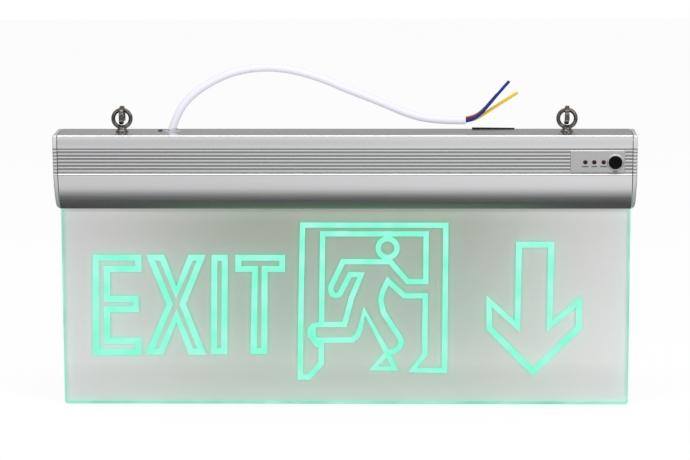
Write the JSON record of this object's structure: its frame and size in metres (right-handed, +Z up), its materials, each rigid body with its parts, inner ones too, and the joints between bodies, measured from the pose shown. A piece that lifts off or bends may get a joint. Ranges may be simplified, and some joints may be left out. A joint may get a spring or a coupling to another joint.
{
  "type": "emergency exit light",
  "caption": "Hanging edge-lit emergency exit light: ribbed aluminium housing with test button, clear acrylic sign panel, hanging rings and a bare-ended supply cable.",
  "frame": {"origin": "middle of the housing's flat top face, on the line through both eyebolts", "axes": "+X along the housing, +Y from the face with the test button to the back, +Z up"},
  "size_m": [0.4, 0.0399, 0.2377],
  "materials": {
    "anodised_housing": "extruded aluminium, clear anodised, fine lengthwise lines",
    "end_cap_grey": "moulded silver-grey plastic, satin",
    "zinc_steel": "bright zinc plate",
    "nickel_steel": "dark nickel plate",
    "clear_acrylic": "clear acrylic with polished, green glowing edges",
    "silver_film": "silver diffusing film",
    "plain_aluminium": "mill finish",
    "white_board": "white solder mask",
    "led_package": "white package with yellow phosphor",
    "green_board": "green solder mask",
    "battery_wrap": "blue shrink wrap",
    "spring_steel": "spring steel strip",
    "core_laminations": "stacked laminations, taped coil",
    "capacitor_can": "sleeved can",
    "terminal_plastic": "moulded nylon",
    "grey_nylon": "moulded nylon, satin",
    "dark_steel": "blackened steel",
    "black_plastic": "moulded, fine texture",
    "brushed_plate": "brushed lengthwise",
    "red_led_lens": "tinted epoxy, unlit",
    "black_button": "moulded, soft shine",
    "white_sheath": "soft PVC sheath",
    "blue_insulation": "PVC insulation",
    "yellow_insulation": "PVC insulation",
    "brown_insulation": "PVC insulation"
  },
  "bodies": {
    "housing": {"housing": "anodised_housing", "end_cap_left": "end_cap_grey", "end_cap_right": "end_cap_grey", "cap_screws_left": "zinc_steel", "cap_screws_right": "zinc_steel", "eyebolt_left": "nickel_steel", "eyebolt_right": "nickel_steel", "eyebolt_washer_left": "zinc_steel", "eyebolt_washer_right": "zinc_steel", "eyebolt_nut_left": "zinc_steel", "eyebolt_nut_right": "zinc_steel", "front_sheet": "clear_acrylic", "back_sheet": "clear_acrylic", "reflector_film": "silver_film", "panel_carrier": "plain_aluminium", "panel_pins": "zinc_steel", "light_strip_board": "white_board", "light_strip_leds": "led_package", "main_board": "green_board", "battery_pack": "battery_wrap", "battery_clip_left": "spring_steel", "battery_clip_right": "spring_steel", "transformer": "core_laminations", "capacitor": "capacitor_can", "terminal_block": "terminal_plastic", "cable_gland": "grey_nylon", "gland_nut": "grey_nylon", "case_screw": "dark_steel", "blanking_plug": "black_plastic", "control_plate": "brushed_plate", "control_board": "green_board", "status_leds": "red_led_lens", "test_switch": "black_plastic", "supply_cable": "white_sheath", "blue_core": "blue_insulation", "yellow_core": "yellow_insulation", "brown_core": "brown_insulation"},
    "test_button": {"test_button": "black_button", "switch_actuator": "black_plastic"},
    "left_ring": {"split_ring_left": "nickel_steel"},
    "right_ring": {"split_ring_right": "nickel_steel"}
  },
  "joints": [
    {"name": "test_button_press", "type": "slide", "parent": "housing", "child": "test_button", "axis": [0, 0.9837, 0.1798], "range_m": [0, 0.0015], "stiffness_N_per_m": 300},
    {"name": "left_ring_swing", "type": "hinge", "parent": "housing", "child": "left_ring", "pos_m": [-0.1535, 0, 0.0153], "axis": [1, 0, 0], "range_deg": [-150, 150]},
    {"name": "right_ring_swing", "type": "hinge", "parent": "housing", "child": "right_ring", "pos_m": [0.1535, 0, 0.0153], "axis": [1, 0, 0], "range_deg": [-150, 150]}
  ]
}
